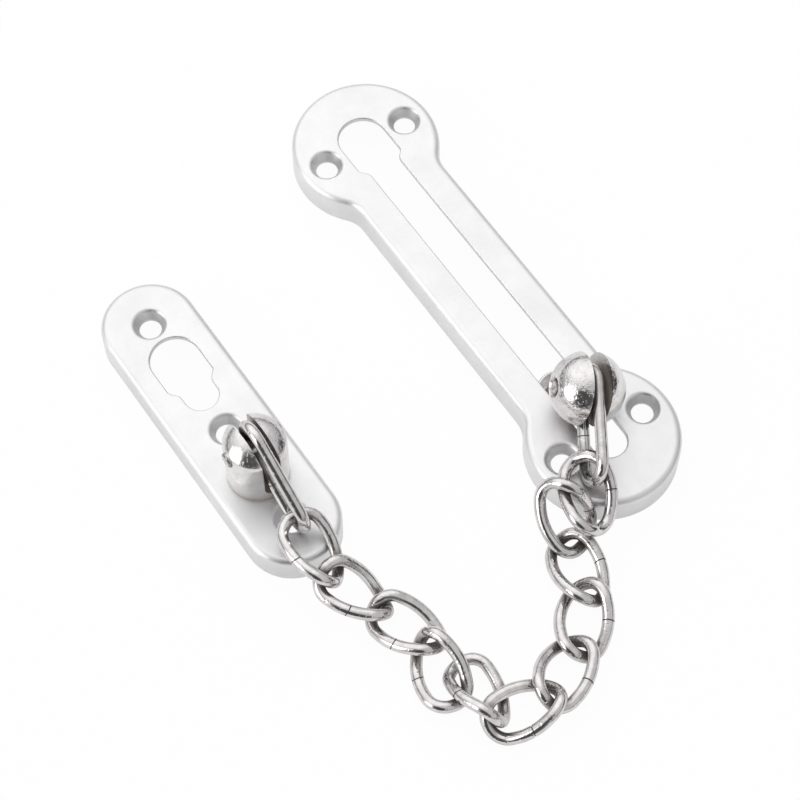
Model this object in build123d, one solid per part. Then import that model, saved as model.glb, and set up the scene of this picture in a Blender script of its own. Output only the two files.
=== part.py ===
from build123d import *
import os
from math import asin, atan2, cos, degrees, hypot, radians, sin, sqrt

# A door security chain lying open on a table.
# The origin is the middle of the track plate's back, +X runs along the track towards the slider,
# +Y across it and +Z out of the plates. Sizes are in millimetres and angles in degrees.

# Pressed sheet, the same on both plates
sheet = 1.0
plate_height = 6.6
edge_round = 1.4
slot_edge_round = 0.3
screw_hole_diameter = 4.4
countersink_diameter = 6.5
countersink_depth = 2.0
countersink_round = 0.85
screw_hole_land = 0.6
dimple_ring = 0.6

# Track plate
track_end_spacing = 80.0
track_end_radius = 15.0
track_neck_width = 20.0
track_neck_round = 6.0
track_hole_spacing = 19.0
track_slot_width = 7.0
track_slot_reach = 1.8
track_slot_end = track_end_spacing / 2 + track_slot_reach
track_entry_width = 10.0
track_entry_reach = 1.0
track_entry_start = -track_end_spacing / 2 - track_entry_reach
track_entry_length = 6.2
track_shoulder = track_entry_start + track_entry_length
shoulder_round = 1.7

# Wire links and the pins that carry the two long ones
wire = 2.3
link_gap = 0.3
pin_radius = 1.5
pin_gap = 0.1
pin_end_round = 0.4
pin_dimple_radius = 0.8
pin_dimple_depth = 0.4
seam_width = 0.22
seam_depth = 0.2
long_link_length = 23.8
long_link_width = 9.6
long_link_seam = 1.5
slot_play = 1.5

# Twisted chain links: corners of the centre line before they are rounded
link_length = 16.5
link_side_width = 10.0
link_end_width = 5.4
link_end_rise = 4.8
link_end_round = 3.4
link_side_round = 12.0

# Slider: a slotted ball on a neck, with a foot riveted on under the sheet. It stands back far enough
# for the chain to drop clear of the plate's round end, at a bearing from the end's middle
ball_radius = 7.25
drop_bearing = 58
ball_setback = 11.0
drop_reach = track_end_radius / cos(radians(drop_bearing))
ball_place = track_end_spacing / 2 + drop_reach - ball_setback - long_link_length
ball_offset = 0.4
ball_gap = 0.2
ball_slot_gap = 0.6
ball_pin_recess = 0.3
ball_pin_sink = 0.5
neck_radius = 2.5
foot_radius = 4.7
foot_thickness = 0.6
foot_round = 0.3
foot_top_gap = 0.15
foot_back_gap = 0.2
spigot_radius = 1.5
rivet_radius = 2.3
rivet_thickness = 0.5
running_gap = 0.05
slider_heading = 12
slider_swivel = -43
slider_link_rest = 0.15

# Keeper plate and its domed post
keeper_hole_spacing = 50.0
keeper_end_radius = 9.5
keeper_entry_start = 9.5
keeper_shoulder = 15.1
keeper_slot_end = 18.6
keeper_slot_width = 6.9
keeper_reach = 3.05
post_place = keeper_hole_spacing + keeper_end_radius + keeper_reach - long_link_length
post_to_middle_hole = 11.05
keeper_middle_hole = post_place - post_to_middle_hole
post_radius = 6.0
post_height = 13.0
post_dome_rise = 3.2
post_dome_round = 1.8
post_pin_height = 12.2
post_slot_floor = 2.2
post_pin_stand = 0.4
post_pin_recess = 0.3
post_spigot_radius = 3.0
post_rivet_radius = 4.2
post_rivet_thickness = 0.8

# How the chain lies, link by link from the slider: heading, pitch and roll,
# then the slack and side step at its hook, in wire diameters
chain_lie = [
    (-27, -12, -2, 1.09, -0.87),
    (-7, -44, 15, 2.74, -2.65),
    (-15, 4, -5, 0.22, -0.57),
    (-42, -3, 5, 0.48, 0.22),
    (-61, 8, -1, 0.13, -0.09),
    (-104, -11, 3, -0.17, 0.52),
    (-187, -14, 28, -0.43, 0.26),
    (-194, 7, -28, 1.91, 2.39),
    (-157, 1, 6, 0.0, -0.83),
    (-148, 24, 13, -0.13, -0.43),
    (-180, 18, 21, 0.04, 0.22),
]
first_link_hang = 5.1
last_link_dip = 2.4
keeper_hook = (1.0, 0.3, -0.65)


def dog_bone(inset):
    """Plan of the track plate, with every edge set in."""
    end = Circle(track_end_radius - inset)
    neck = Rectangle(track_end_spacing, track_neck_width - 2 * inset)
    plan = neck + Pos(-track_end_spacing / 2, 0) * end + Pos(track_end_spacing / 2, 0) * end
    on_neck = lambda v: abs(abs(v.Y) - track_neck_width / 2 + inset) < 0.01
    return fillet(plan.vertices().filter_by(on_neck), track_neck_round + inset)


def stadium(inset):
    """Plan of the keeper plate, with every edge set in and its first hole at the origin."""
    return Pos(keeper_hole_spacing / 2, 0) * SlotCenterToCenter(
        keeper_hole_spacing, 2 * (keeper_end_radius - inset)
    )


def keyhole(start, shoulder, end, slot_width):
    """Plan of a slot with a wider round entry, joined by soft shoulders."""
    step = (track_entry_width - slot_width) / 2
    half = [
        (start, track_entry_width / 2),
        (shoulder, track_entry_width / 2),
        (shoulder + step, slot_width / 2),
        (end, slot_width / 2),
    ]
    body = make_face(Polyline(*half, *[(x, -y) for x, y in reversed(half)], close=True))
    soft = body.vertices().filter_by(lambda v: start < v.X - step / 2 < end - step)
    body = fillet(soft, shoulder_round)
    return body + Pos(start, 0) * Circle(track_entry_width / 2) + Pos(end, 0) * Circle(slot_width / 2)


def dimple():
    """Sheet pressed down round a screw hole, its top face at height zero."""
    hole = screw_hole_diameter / 2
    cone = countersink_diameter / 2
    ring = cone + dimple_ring
    depth = countersink_depth + screw_hole_land
    section = make_face(
        Polyline(
            (ring, 0),
            (cone, 0),
            (hole, -countersink_depth),
            (hole, -depth),
            (hole + sheet, -depth),
            (hole + sheet, -countersink_depth),
            (cone + sheet / 2, -sheet),
            (ring, -sheet),
            close=True,
        )
    )
    section = fillet(section.vertices().sort_by_distance((cone, 0))[0], countersink_round)
    return revolve(Plane.XZ * section, Axis.Z)


def pressing(plan, cut, holes):
    """Sheet plate with turned-down walls, an open back, a keyhole slot and dimpled screw holes."""
    outside = extrude(plan(0), plate_height)
    outside = fillet(outside.faces().sort_by(Axis.Z)[-1].edges(), edge_round)
    inside = extrude(plan(sheet), plate_height - sheet)
    inside = fillet(inside.faces().sort_by(Axis.Z)[-1].edges(), edge_round - sheet)
    plate = outside - inside - extrude(cut, plate_height)
    top = plate.faces().sort_by(Axis.Z)[-1]
    plate = fillet(top.inner_wires()[0].edges(), slot_edge_round)
    ring = countersink_diameter / 2 + dimple_ring
    for x, y in holes:
        plate -= Pos(x, y, plate_height) * Cylinder(ring, 2 * plate_height)
        plate += Pos(x, y, plate_height) * dimple()
    return plate


def track_plate():
    x, y = track_end_spacing / 2, track_hole_spacing / 2
    holes = [(-x, -y), (-x, y), (x, -y), (x, y)]
    slot = keyhole(track_entry_start, track_shoulder, track_slot_end, track_slot_width)
    return pressing(dog_bone, slot, holes)


def keeper_plate():
    slot = keyhole(keeper_entry_start, keeper_shoulder, keeper_slot_end, keeper_slot_width)
    holes = [(0, 0), (keeper_middle_hole, 0), (keeper_hole_spacing, 0)]
    plate = pressing(stadium, slot, holes)
    return plate - Pos(post_place, 0) * Cylinder(post_spigot_radius, 3 * plate_height)


def rod(radius, low, high):
    """Upright round bar between two heights."""
    return Pos(0, 0, (low + high) / 2) * Cylinder(radius, high - low)


def slot_cut(floor, reach):
    """Round-floored slot along X for a long link, open at the top, its floor below the origin."""
    width = wire + slot_play
    middle = width / 2 - floor
    section = Pos(0, middle + reach / 2) * Rectangle(width, reach) + Pos(0, middle) * Circle(width / 2)
    return extrude(Plane.YZ * section, reach, both=True)


def cross_pin(front, back):
    """Pin along Y through the origin, with rounded ends, each dimpled by its riveting."""
    pin = Rot(90, 0, 0) * rod(pin_radius, -back, front)
    pin = fillet(pin.edges().filter_by(GeomType.CIRCLE), pin_end_round)
    punch = Cone(0, 2 * pin_dimple_radius, 2 * pin_dimple_depth)
    return pin - Pos(0, -front, 0) * Rot(90, 0, 0) * punch - Pos(0, back, 0) * Rot(-90, 0, 0) * punch


def pin_hole(half_length):
    return Rot(90, 0, 0) * Cylinder(pin_radius, 2 * half_length)


def seam():
    """Ring cut round a wire along X, where its two ends meet."""
    return Rot(0, 90, 0) * (Cylinder(wire, seam_width) - Cylinder(wire / 2 - seam_depth, seam_width))


def long_link():
    """Straight-sided link in the XZ plane, its near end round a pin at the origin, reaching along +X."""
    loop = SlotOverall(long_link_length - wire, long_link_width - wire).wire()
    link = sweep(Plane(loop @ 0, z_dir=loop % 0) * Circle(wire / 2), loop)
    link -= Pos(long_link_seam, (wire - long_link_width) / 2) * seam()
    return Pos((long_link_length - long_link_width) / 2, 0, long_link_shift()) * Rot(90, 0, 0) * link


def long_link_shift():
    """Height of the link's middle above the pin, with its lower wire close under the pin."""
    return long_link_width / 2 - wire - pin_radius - pin_gap


def long_link_end():
    """Wire centre at the link's far end."""
    return Vector(long_link_length - long_link_width / 2 - wire / 2, 0, long_link_shift())


def link_reach():
    """Distance from a chain link's middle to the wire centre at its end."""
    return (link_length - wire) / 2


def chain_link():
    """Twisted wire link, its length along X and its two ends turned opposite ways."""
    end = link_reach()
    across = link_end_width / 2
    rise = link_end_rise / 2
    side = link_side_width / 2
    loop = FilletPolyline(
        (end, across, -rise),
        (0, side, 0),
        (-end, across, rise),
        (-end, -across, -rise),
        (0, -side, 0),
        (end, -across, rise),
        radius=[link_end_round, link_side_round, link_end_round] * 2,
        close=True,
    )
    link = Part() + [sweep(Plane(e @ 0, z_dir=e % 0) * Circle(wire / 2), e) for e in loop.edges()]
    return link - Pos(loop.edges().sort_by_distance((0, side, 0))[0] @ 0.5) * seam()


def lean():
    """Tilt at which the foot meets the sheet on one side and the door on the other."""
    room = plate_height - sheet - foot_top_gap - foot_back_gap
    span = hypot(2 * foot_radius, foot_thickness)
    return degrees(asin(room / span) - atan2(foot_thickness, 2 * foot_radius))


def ball_height():
    return plate_height + ball_radius + ball_gap


def foot_depth():
    """Distance from the ball's centre to the foot's top, along the stud."""
    top = plate_height - sheet - foot_top_gap - foot_radius * sin(radians(lean()))
    return (ball_height() - top) / cos(radians(lean()))


def slider_stud():
    """Slotted ball with its neck and riveted spigot, in one turned piece."""
    depth = foot_depth()
    foot_back = -depth - foot_thickness - running_gap
    stud = Sphere(ball_radius) + rod(neck_radius, running_gap - depth, 0)
    stud += rod(spigot_radius, foot_back, running_gap - depth)
    stud += rod(rivet_radius, foot_back - rivet_thickness, foot_back)
    stud -= slot_cut(long_link_width / 2 + ball_slot_gap, 2 * ball_radius)
    sink = Cone(pin_radius, pin_radius + 2 * ball_pin_sink, 2 * ball_pin_sink)
    sink = Pos(0, 0, ball_radius - ball_pin_recess) * sink
    stud -= Rot(90, 0, 0) * sink + Rot(-90, 0, 0) * sink
    return stud - pin_hole(2 * ball_radius)


def slider_pin():
    half = ball_radius - ball_pin_recess
    return cross_pin(half, half)


def slider_foot():
    """Disc under the sheet, loose on the stud's spigot."""
    depth = foot_depth()
    hole = rod(spigot_radius + running_gap, -2 * depth, 0)
    disc = rod(foot_radius, -depth - foot_thickness, -depth)
    disc = fillet(disc.edges().sort_by(Axis.Z)[-1], foot_round)
    return disc - hole


def keeper_post():
    """Domed and slotted post riveted behind the keeper plate, its pin at the origin."""
    top = -post_pin_height
    back = top - sheet
    rivet = back - post_rivet_thickness
    shoulder = top + post_height
    dome_radius = (post_radius**2 + post_dome_rise**2) / (2 * post_dome_rise)
    crown = RadiusArc((post_radius, shoulder), (0, shoulder + post_dome_rise), -dome_radius)
    outline = Polyline(
        crown @ 1,
        (0, rivet),
        (post_rivet_radius, rivet),
        (post_rivet_radius, back),
        (post_spigot_radius, back),
        (post_spigot_radius, top),
        (post_radius, top),
        crown @ 0,
    )
    section = make_face(outline + crown)
    section = fillet(section.vertices().sort_by_distance((post_radius, shoulder))[0], post_dome_round)
    post = revolve(Plane.XZ * section, Axis.Z)
    post -= slot_cut(post_pin_height - post_slot_floor, 3 * post_radius)
    return post - pin_hole(2 * post_radius)


def keeper_pin():
    return cross_pin(post_radius + post_pin_stand, post_radius - post_pin_recess)


def turn(heading, pitch, roll):
    return Rot(0, 0, heading) * Rot(0, -pitch, 0) * Rot(roll, 0, 0)


def point(place):
    """Position of a location."""
    return Vector(place.position)


def slider_place():
    """Where the ball's centre is, with X along its slot and Z along its stud."""
    upright = Pos(ball_place, ball_offset, ball_height()) * Rot(0, 0, slider_heading)
    return upright * Rot(0, lean(), 0) * Rot(0, 0, slider_swivel)


def slider_link_lift():
    """Angle between the slider's slot and its link, which lies on the plate beyond the ball."""
    along = -sin(radians(lean())) * cos(radians(slider_swivel))
    over = cos(radians(lean()))
    tilt = sin(radians(lean())) * sin(radians(slider_swivel))
    length = long_link_length - long_link_width
    middle = wire / 2 + (long_link_width - wire) / 2 * sqrt(1 - tilt**2)
    rise = plate_height + slider_link_rest + middle - ball_height()
    flat = length * along + long_link_shift() * over
    steep = length * over - long_link_shift() * along
    return degrees(asin(rise / hypot(flat, steep)) - atan2(flat, steep))


def slider_link_place():
    return slider_place() * Rot(0, -slider_link_lift(), 0)


def chain_places():
    """Place of each chain link, hooked one after another from the slider's link."""
    start = slider_link_place()
    end = point(start * Pos(long_link_end()))
    ahead = end - point(start * Pos(0, 0, long_link_shift()))
    heading = degrees(atan2(ahead.Y, ahead.X))
    heights = [end.Z - first_link_hang] + [0] * (len(chain_lie) - 2) + [plate_height - last_link_dip]
    link = chain_link()
    places = []
    for (next_heading, pitch, roll, slack, side), height in zip(chain_lie, heights):
        hook = point(Pos(end) * Rot(0, 0, heading) * Pos(-wire - link_gap - slack * wire, side * wire, 0))
        lie = turn(next_heading, pitch, roll)
        middle = hook + point(lie * Pos(link_reach(), 0, 0))
        lowest = (lie * link).bounding_box().min.Z
        place = Pos(middle.X, middle.Y, height - lowest) * lie
        end = point(place * Pos(link_reach(), 0, 0))
        heading = next_heading
        places.append(place)
    return places


def keeper_link_place(last_link):
    """Place of the keeper's link: its end inside the last chain link and its pin at the post's height."""
    hook = point(last_link * Pos(link_reach(), 0, 0)) + wire * Vector(*keeper_hook)
    end = long_link_end()
    rise = plate_height + post_pin_height - hook.Z
    drop = degrees(asin(rise / hypot(end.X, end.Z)) + atan2(end.Z, end.X))
    swing = Rot(0, drop, 0)
    back = point(swing * Pos(end))
    return Pos(hook.X - back.X, hook.Y, hook.Z - back.Z) * swing


def pieces():
    """Every piece by name, where it lies."""
    slider = slider_place()
    places = chain_places()
    keeper_link = keeper_link_place(places[-1])
    post = Pos(keeper_link.position)
    plate = post * Pos(-post_place, 0, -plate_height - post_pin_height)
    made = {
        "track_plate": track_plate(),
        "slider_foot": slider * slider_foot(),
        "slider_stud": slider * slider_stud(),
        "slider_pin": slider * slider_pin(),
        "slider_link": slider_link_place() * long_link(),
        "keeper_link": keeper_link * long_link(),
        "keeper_pin": post * keeper_pin(),
        "keeper_post": post * keeper_post(),
        "keeper_plate": plate * keeper_plate(),
    }
    for number, place in enumerate(places, 1):
        made[f"chain_link_{number:02d}"] = place * chain_link()
    return made


if __name__ == "__main__":
    os.makedirs("parts", exist_ok=True)
    for name, piece in pieces().items():
        export_step(piece, f"parts/{name}.step")
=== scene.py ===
# %% [markdown]
# A door security chain lies open on a white table. The long pressed plate is screwed to the door and
# carries a slotted ball in its track. The short plate is screwed to the door frame and carries a domed
# post. A chain of twisted wire links joins the two. Every piece is rigid metal, so the shapes come from
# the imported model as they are. This lesson is about the camera, the light and the metal finishes.

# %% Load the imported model
from math import cos, pi, radians

import bmesh
import bpy
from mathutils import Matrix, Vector

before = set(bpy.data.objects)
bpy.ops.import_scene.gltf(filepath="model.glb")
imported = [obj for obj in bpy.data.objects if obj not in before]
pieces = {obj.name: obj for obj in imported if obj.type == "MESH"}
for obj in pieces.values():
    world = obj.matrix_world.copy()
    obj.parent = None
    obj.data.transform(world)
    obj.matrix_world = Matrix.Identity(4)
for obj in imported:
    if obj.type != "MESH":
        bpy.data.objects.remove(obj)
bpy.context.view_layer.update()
scene = bpy.context.scene
print("pieces loaded:", len(pieces))

# %% [markdown]
# The photograph looks down on the table from the keeper's side, about 63 degrees above it and from a
# little under half a metre away, through a long lens. A camera could be turned by trial and error. Here
# it is placed by its position and the point it looks at, worked out from the plates' straight edges and
# screw holes, because those two points are easy to read and to change.

# %% Camera
MM = 0.001
camera_place = Vector((178.2, -142.1, 396.2)) * MM
camera_aim = Vector((9.49, -25.72, 0.0)) * MM
lens = bpy.data.cameras.new("product_camera")
lens.sensor_width = 36.0
lens.lens = 103.5
lens.clip_start = 0.01
camera = bpy.data.objects.new("product_camera", lens)
camera.location = camera_place
camera.rotation_euler = (camera_aim - camera_place).to_track_quat("-Z", "Y").to_euler()
scene.collection.objects.link(camera)
scene.camera = camera
print("camera distance in mm:", round((camera_aim - camera_place).length / MM))

# %% [markdown]
# Materials are small networks of nodes. Two helpers keep them short. One turns a colour written as a
# web-style hex value into the linear numbers that shaders use. The other adds one node, sets its
# values and joins its inputs to the outputs of earlier nodes. Everything below is built with it.

# %% Colour and node helpers
def linear(hex_colour):
    parts = [int(hex_colour[i:i + 2], 16) / 255 for i in (1, 3, 5)]
    curve = [c / 12.92 if c <= 0.04045 else ((c + 0.055) / 1.055) ** 2.4 for c in parts]
    return (*curve, 1.0)


def add_node(tree, kind, settings=None, values=None, links=None):
    node = tree.nodes.new(kind)
    for name, value in (settings or {}).items():
        setattr(node, name, value)
    for socket, value in (values or {}).items():
        node.inputs[socket].default_value = value
    for socket, source in (links or {}).items():
        tree.links.new(source, node.inputs[socket])
    return node


def empty_material(name):
    material = bpy.data.materials.new(name)
    material.use_nodes = True
    material.node_tree.nodes.clear()
    return material, material.node_tree


print("mid grey in linear:", round(linear("#808080")[0], 3))

# %% [markdown]
# Four steps come back in most of the materials. A noise pattern is sized by a real length and fixed to the
# piece. A number is spread from one range to another. A pattern is turned into two tones. The last one
# reads how much open air a point of the surface has over it, which is low in slots and crevices.

# %% Pattern helpers
def noise(tree, size_mm, detail, roughness):
    place = add_node(tree, "ShaderNodeTexCoord")
    pattern = add_node(tree, "ShaderNodeTexNoise",
                       values={"Scale": 1.0 / (size_mm * MM), "Detail": detail, "Roughness": roughness},
                       links={"Vector": place.outputs["Object"]})
    return pattern.outputs["Fac"]


def spread(tree, value, start, end, low=0.0, high=1.0, style="LINEAR"):
    node = add_node(tree, "ShaderNodeMapRange", {"interpolation_type": style},
                    {"From Min": start, "From Max": end, "To Min": low, "To Max": high}, {"Value": value})
    return node.outputs["Result"]


def two_tones(tree, pattern, low, high):
    tone = add_node(tree, "ShaderNodeValToRGB", links={0: pattern})
    for stop, position, colour in zip(tone.color_ramp.elements, (0.3, 0.7), (low, high)):
        stop.position = position
        stop.color = linear(colour)
    return tone.outputs["Color"]


def open_air(tree, distance_mm, **settings):
    node = add_node(tree, "ShaderNodeAmbientOcclusion", {"samples": 8, **settings},
                    {"Distance": distance_mm * MM})
    return node.outputs["AO"]


print("helpers:", noise.__name__, spread.__name__, two_tones.__name__, open_air.__name__)

# %% [markdown]
# The table is a sheet of white paper. Lit as a plain matt surface it would come out light grey, as paper
# does beside bright metal. So what the camera sees of it is mostly white light of strength one, and a
# share of the matt surface stays in the mix to keep the soft shadow under the chain. Metal mirrors the
# same white paper, but close to the pieces that paper is in their shade, so a smaller share of what
# glossy rays see is plain white. That shade is what draws the wire's darker edges.

# %% Paper floor
def paper_floor(half_width_mm, drop_mm, white_to_camera, white_to_metal):
    mesh = bpy.data.meshes.new("paper_floor")
    sheet = bmesh.new()
    bmesh.ops.create_grid(sheet, x_segments=1, y_segments=1, size=half_width_mm * MM)
    bmesh.ops.translate(sheet, verts=sheet.verts, vec=(0, 0, -drop_mm * MM))
    sheet.to_mesh(mesh)
    sheet.free()
    material, tree = empty_material("white_paper_matt")
    matt = add_node(tree, "ShaderNodeBsdfDiffuse", values={"Color": linear("#F4F4F4")})
    white = add_node(tree, "ShaderNodeEmission", values={"Strength": 1.0})
    path = add_node(tree, "ShaderNodeLightPath")
    seen = add_node(tree, "ShaderNodeMath", {"operation": "MULTIPLY"}, {1: white_to_camera},
                    {0: path.outputs["Is Camera Ray"]})
    share = add_node(tree, "ShaderNodeMath", {"operation": "MULTIPLY_ADD"}, {1: white_to_metal},
                     {0: path.outputs["Is Glossy Ray"], 2: seen.outputs[0]})
    mix = add_node(tree, "ShaderNodeMixShader",
                   links={0: share.outputs[0], 1: matt.outputs[0], 2: white.outputs[0]})
    add_node(tree, "ShaderNodeOutputMaterial", links={"Surface": mix.outputs[0]})
    mesh.materials.append(material)
    floor = bpy.data.objects.new("paper_floor", mesh)
    scene.collection.objects.link(floor)
    return floor


floor = paper_floor(half_width_mm=600, drop_mm=0.05, white_to_camera=0.96, white_to_metal=0.5)
print("floor is", round(floor.dimensions.x, 2), "m wide")

# %% [markdown]
# Polished metal is a mirror, so it looks like whatever stands round it. A plain white room would make it
# flat and pale. A product photographer works in a tent of white cloth with soft lamps behind it. The
# front of the tent is open for the camera, and a second gap at the right shows a strip of the dim room.
# These dark openings draw the dark lines along the wire. Area lamps would show as hard windows in the
# ball, so the tent is painted into the world instead. A band of tones follows the height of the
# direction that a ray takes, dimmer towards the table. Each glow and each opening has a full inner
# angle and fades to nothing at its outer angle. The camera itself sees white.

# %% Light tent
def soft_spot(tree, direction, toward, inner, outer, outside, inside):
    aim = add_node(tree, "ShaderNodeVectorMath", {"operation": "DOT_PRODUCT"},
                   {1: Vector(toward).normalized()}, {0: direction})
    return spread(tree, aim.outputs["Value"], cos(radians(outer)), cos(radians(inner)),
                  outside, inside, "SMOOTHSTEP")


def light_tent(bands, glows, openings):
    world = bpy.data.worlds.new("light_tent")
    scene.world = world
    world.use_nodes = True
    tree = world.node_tree
    tree.nodes.clear()
    direction = add_node(tree, "ShaderNodeTexCoord").outputs["Generated"]
    height = add_node(tree, "ShaderNodeSeparateXYZ", links={0: direction})
    cloth = add_node(tree, "ShaderNodeValToRGB", links={0: height.outputs["Z"]})
    ramp = cloth.color_ramp.elements
    ramp[0].color = linear(bands[0][1])
    ramp[1].color = linear(bands[-1][1])
    for place, colour in bands[1:-1]:
        ramp.new(place).color = linear(colour)
    light = cloth.outputs["Color"]
    layers = [("ADD", 0.0, glow) for glow in glows] + [("MULTIPLY", 1.0, gap) for gap in openings]
    for operation, outside, spot in layers:
        fade = soft_spot(tree, direction, outside=outside, **spot)
        total = add_node(tree, "ShaderNodeVectorMath", {"operation": operation}, links={0: light, 1: fade})
        light = total.outputs[0]
    tent = add_node(tree, "ShaderNodeBackground", values={"Strength": 1.0}, links={"Color": light})
    white = add_node(tree, "ShaderNodeBackground", values={"Color": (1, 1, 1, 1), "Strength": 1.0})
    path = add_node(tree, "ShaderNodeLightPath")
    mix = add_node(tree, "ShaderNodeMixShader", links={
        0: path.outputs["Is Camera Ray"], 1: tent.outputs[0], 2: white.outputs[0]})
    add_node(tree, "ShaderNodeOutputWorld", links={"Surface": mix.outputs[0]})
    return world


tent_bands = [(0.0, "#747276"), (0.1, "#9A989C"), (0.28, "#D2D2D4"), (1.0, "#DCDCDC")]
tent_glows = [
    {"toward": (-0.58, 0.08, 0.8), "inner": 16, "outer": 55, "inside": 0.58},
    {"toward": (-0.13, -0.91, 0.36), "inner": 8, "outer": 27, "inside": 2.4},
]
tent_openings = [
    {"toward": (0.52, -0.64, 0.5), "inner": 20, "outer": 36, "inside": 0.13},
    {"toward": (0.35, 0.93, 0.04), "inner": 6, "outer": 25, "inside": 0.2},
]
tent = light_tent(tent_bands, tent_glows, tent_openings)
print(tent.name, "bands:", len(tent_bands), "glows:", len(tent_glows), "openings:", len(tent_openings))

# %% [markdown]
# One soft box hangs over the table and lays the faint shadows on the paper. The tent already gives the
# metal its reflections, so the box is hidden from glossy rays and adds no hard square to them.

# %% Overhead soft box
def soft_box(name, place_mm, width_mm, radiance):
    data = bpy.data.lights.new(name, "AREA")
    data.shape = "SQUARE"
    data.size = width_mm * MM
    data.energy = radiance * pi * data.size ** 2
    box = bpy.data.objects.new(name, data)
    box.location = Vector(place_mm) * MM
    box.rotation_euler = (camera_aim - box.location).to_track_quat("-Z", "Y").to_euler()
    box.visible_glossy = False
    scene.collection.objects.link(box)
    return box


overhead_box = soft_box("overhead_box", place_mm=(-290, 190, 640), width_mm=500, radiance=0.8)
print("soft box power in watts:", round(overhead_box.data.energy, 2))

# %% [markdown]
# The plates are stainless steel sheet, pressed to shape and then blasted with fine beads. Blasting leaves
# tiny dents that scatter the light, so the surface is pale and satin and its reflections are soft
# blurs. The dents are about a tenth of a millimetre across. They are drawn a little coarser here so that
# they still show. A slow cloudiness in the colour keeps the large flat tops from looking printed. The
# countersinks and other hollows get painted shade, a darker colour mixed in where little open air is over
# a point.

# %% Satin stainless steel
def satin_steel(name, pale, grey, crevice_shade, crevice_mm, cloud_mm, grit_mm, dent_mm, rough_low, rough_high):
    material, tree = empty_material(name)
    clouds = noise(tree, cloud_mm, detail=3.0, roughness=0.55)
    grit = noise(tree, grit_mm, detail=2.0, roughness=0.6)
    dents = add_node(tree, "ShaderNodeBump", values={"Strength": 0.16, "Distance": dent_mm * MM},
                     links={"Height": grit})
    # Painted shade: a darker colour is mixed in where little open air is over a point, in countersinks and
    # hollows.
    unshaded = spread(tree, open_air(tree, crevice_mm, only_local=True), start=0.6, end=0.98)
    colour = add_node(tree, "ShaderNodeMix", {"data_type": "RGBA"}, {"A": linear(crevice_shade)},
                      {"Factor": unshaded, "B": two_tones(tree, clouds, grey, pale)})
    steel = add_node(tree, "ShaderNodeBsdfPrincipled", values={"Metallic": 1.0}, links={
        "Base Color": colour.outputs[2],
        "Roughness": spread(tree, grit, start=0.3, end=0.7, low=rough_low, high=rough_high),
        "Normal": dents.outputs["Normal"],
    })
    add_node(tree, "ShaderNodeOutputMaterial", links={"Surface": steel.outputs["BSDF"]})
    return material


blasted_steel = satin_steel(
    "stainless_steel_bead_blasted", pale="#EFEFEF", grey="#E7E6E7", crevice_shade="#56524F", crevice_mm=2.5,
    cloud_mm=9.0, grit_mm=0.28, dent_mm=0.02, rough_low=0.38, rough_high=0.50)
print("satin finish:", blasted_steel.name)

# %% [markdown]
# The chain, the ball, the post and the slider's foot carry a polished nickel plate. Nickel is a little
# warmer and darker than chrome. The wire of the links is drawn steel, tumbled until it is bright, so its
# mirror is clear, with shallow waves about a millimetre and a half across. The ball is a die casting. Its
# skin has fine pits, drawn here a little coarser than they are so that they show, and reflections break
# up into speckles there. The post is turned and only tumbled, so it is the haziest. The foot is a
# stamped disc, bright right into the track because it rubs there. Polishing reaches only what is open,
# so in the slots the metal stays dull and brownish. The share of open air over a point, where the table
# and the other pieces count too, mixes a bright mirror with a dull, dark coat. That coat is partly the
# real dull metal and partly painted shade, which also darkens the wire where links touch and along
# the edges near the table.

# %% Polished nickel
def polished_nickel(name, bright, warm, dull_and_shade, crevice_mm, pit_mm, pit_depth_mm, rough_low, rough_high):
    wave_mm = 1.6
    wave_depth_mm = 0.03
    dull_roughness = 0.6
    material, tree = empty_material(name)
    waves = noise(tree, wave_mm, detail=1.0, roughness=0.4)
    pits = noise(tree, pit_mm, detail=1.0, roughness=0.5)
    haze = spread(tree, pits, start=0.35, end=0.7, low=rough_low, high=rough_high)
    dips = spread(tree, pits, start=0.52, end=0.72, style="SMOOTHSTEP")
    ripple = add_node(tree, "ShaderNodeBump", values={"Strength": 0.25, "Distance": wave_depth_mm * MM},
                      links={"Height": waves})
    skin = add_node(tree, "ShaderNodeBump", {"invert": True},
                    {"Strength": 1.0, "Distance": pit_depth_mm * MM},
                    {"Height": dips, "Normal": ripple.outputs["Normal"]})
    # Painted shade mixed with the real dull metal of the slots: the colour darkens where little open air is
    # over a point.
    polished_and_unshaded = spread(tree, open_air(tree, crevice_mm), start=0.4, end=0.92)
    plated = spread(tree, polished_and_unshaded, start=0.1, end=0.5)
    coat = spread(tree, plated, start=0.0, end=1.0, low=dull_roughness, high=0.0)
    roughness = add_node(tree, "ShaderNodeMath", {"operation": "MAXIMUM"}, links={0: coat, 1: haze})
    colour = add_node(tree, "ShaderNodeMix", {"data_type": "RGBA"}, {"A": linear(dull_and_shade)},
                      {"Factor": polished_and_unshaded, "B": two_tones(tree, waves, warm, bright)})
    metal = add_node(tree, "ShaderNodeBsdfPrincipled", links={
        "Metallic": plated,
        "Base Color": colour.outputs[2],
        "Roughness": roughness.outputs[0],
        "Normal": skin.outputs["Normal"],
    })
    add_node(tree, "ShaderNodeOutputMaterial", links={"Surface": metal.outputs["BSDF"]})
    return material


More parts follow.
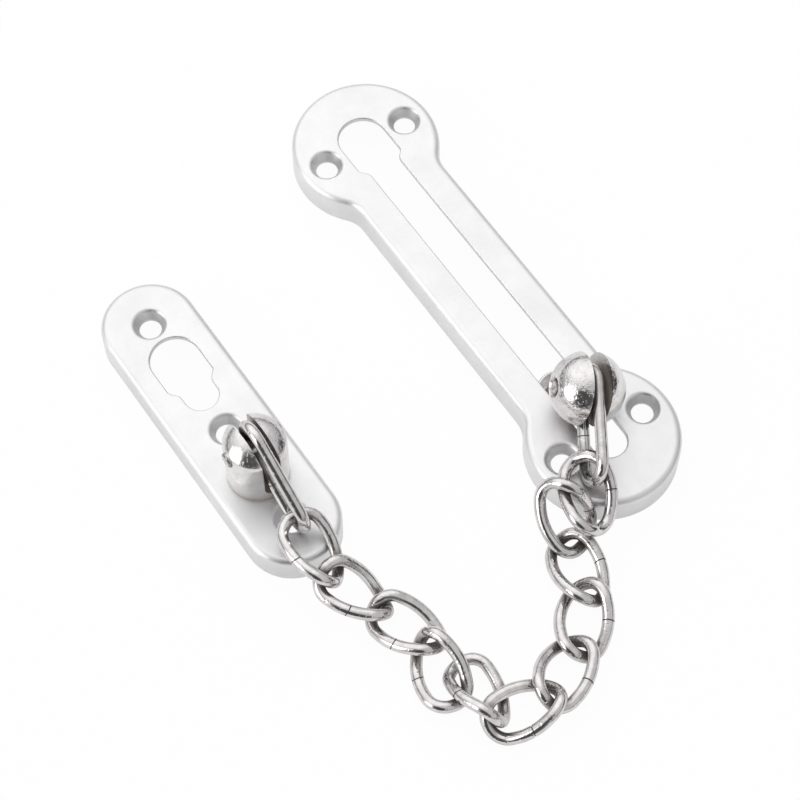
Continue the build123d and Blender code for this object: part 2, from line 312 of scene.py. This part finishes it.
wire_nickel = polished_nickel(
    "nickel_plate_on_drawn_wire", bright="#E2E0DF", warm="#CFCBCA", dull_and_shade="#544E4A", crevice_mm=2.6,
    pit_mm=0.8, pit_depth_mm=0.02, rough_low=0.08, rough_high=0.16)
cast_nickel = polished_nickel(
    "nickel_plate_on_die_casting", bright="#E6E4E3", warm="#D6D3D2", dull_and_shade="#978D83", crevice_mm=4.0,
    pit_mm=0.55, pit_depth_mm=0.03, rough_low=0.09, rough_high=0.17)
turned_nickel = polished_nickel(
    "nickel_plate_on_turned_steel", bright="#EAE8E7", warm="#DEDBDA", dull_and_shade="#978D83", crevice_mm=4.0,
    pit_mm=0.6, pit_depth_mm=0.02, rough_low=0.15, rough_high=0.24)
foot_nickel = polished_nickel(
    "nickel_plate_on_stamped_disc", bright="#EEECEB", warm="#DEDBDA", dull_and_shade="#544E4A", crevice_mm=0.4,
    pit_mm=0.8, pit_depth_mm=0.02, rough_low=0.1, rough_high=0.18)
print("polished finishes:", wire_nickel.name, cast_nickel.name, turned_nickel.name, foot_nickel.name)

# %% [markdown]
# The two cross pins are cut from bright steel bar. Painted shade turns the rim of a pin and the dimple of
# its end near black. Two readings of the solid find those places: how much metal lies under a point, which
# is low along an outer edge, and how much open air a point has over it.

# %% Cut steel pins
def cut_steel(name, bright, rim_shade, rim_mm, roughness):
    material, tree = empty_material(name)
    # Painted shade: the pin's rim and the dimple of its end turn near black.
    face = spread(tree, open_air(tree, rim_mm, inside=True, only_local=True), start=0.72, end=0.92)
    unshaded = spread(tree, open_air(tree, 2 * rim_mm), start=0.5, end=0.95)
    share = add_node(tree, "ShaderNodeMath", {"operation": "MULTIPLY"}, links={0: face, 1: unshaded})
    colour = add_node(tree, "ShaderNodeMix", {"data_type": "RGBA"},
                      {"A": linear(rim_shade), "B": linear(bright)}, {"Factor": share.outputs[0]})
    steel = add_node(tree, "ShaderNodeBsdfPrincipled", values={"Metallic": 1.0, "Roughness": roughness},
                     links={"Base Color": colour.outputs[2]})
    add_node(tree, "ShaderNodeOutputMaterial", links={"Surface": steel.outputs["BSDF"]})
    return material


pin_steel = cut_steel("bright_steel_bar_cut", bright="#E4E2E0", rim_shade="#12100F", rim_mm=0.7, roughness=0.2)
print("pins:", pin_steel.name)

# %% [markdown]
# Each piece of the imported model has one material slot. The two plates take the blasted steel, the ball the
# nickel on a casting, the post the nickel on turned steel, the slider's foot the nickel on a stamped disc
# and the two pins the cut steel. The links take the nickel on wire.

# %% Put the finishes on the pieces
finishes = {
    "track_plate": blasted_steel,
    "keeper_plate": blasted_steel,
    "slider_stud": cast_nickel,
    "slider_foot": foot_nickel,
    "keeper_post": turned_nickel,
    "slider_pin": pin_steel,
    "keeper_pin": pin_steel,
}
for name, piece in pieces.items():
    piece.data.materials.clear()
    piece.data.materials.append(finishes.get(name, wire_nickel))
print("pieces in nickel on wire:", sum(name not in finishes for name in pieces))

# %% [markdown]
# The view transform is set to Standard so that colours come out as they are written.

# %% Finish
scene.view_settings.view_transform = "Standard"
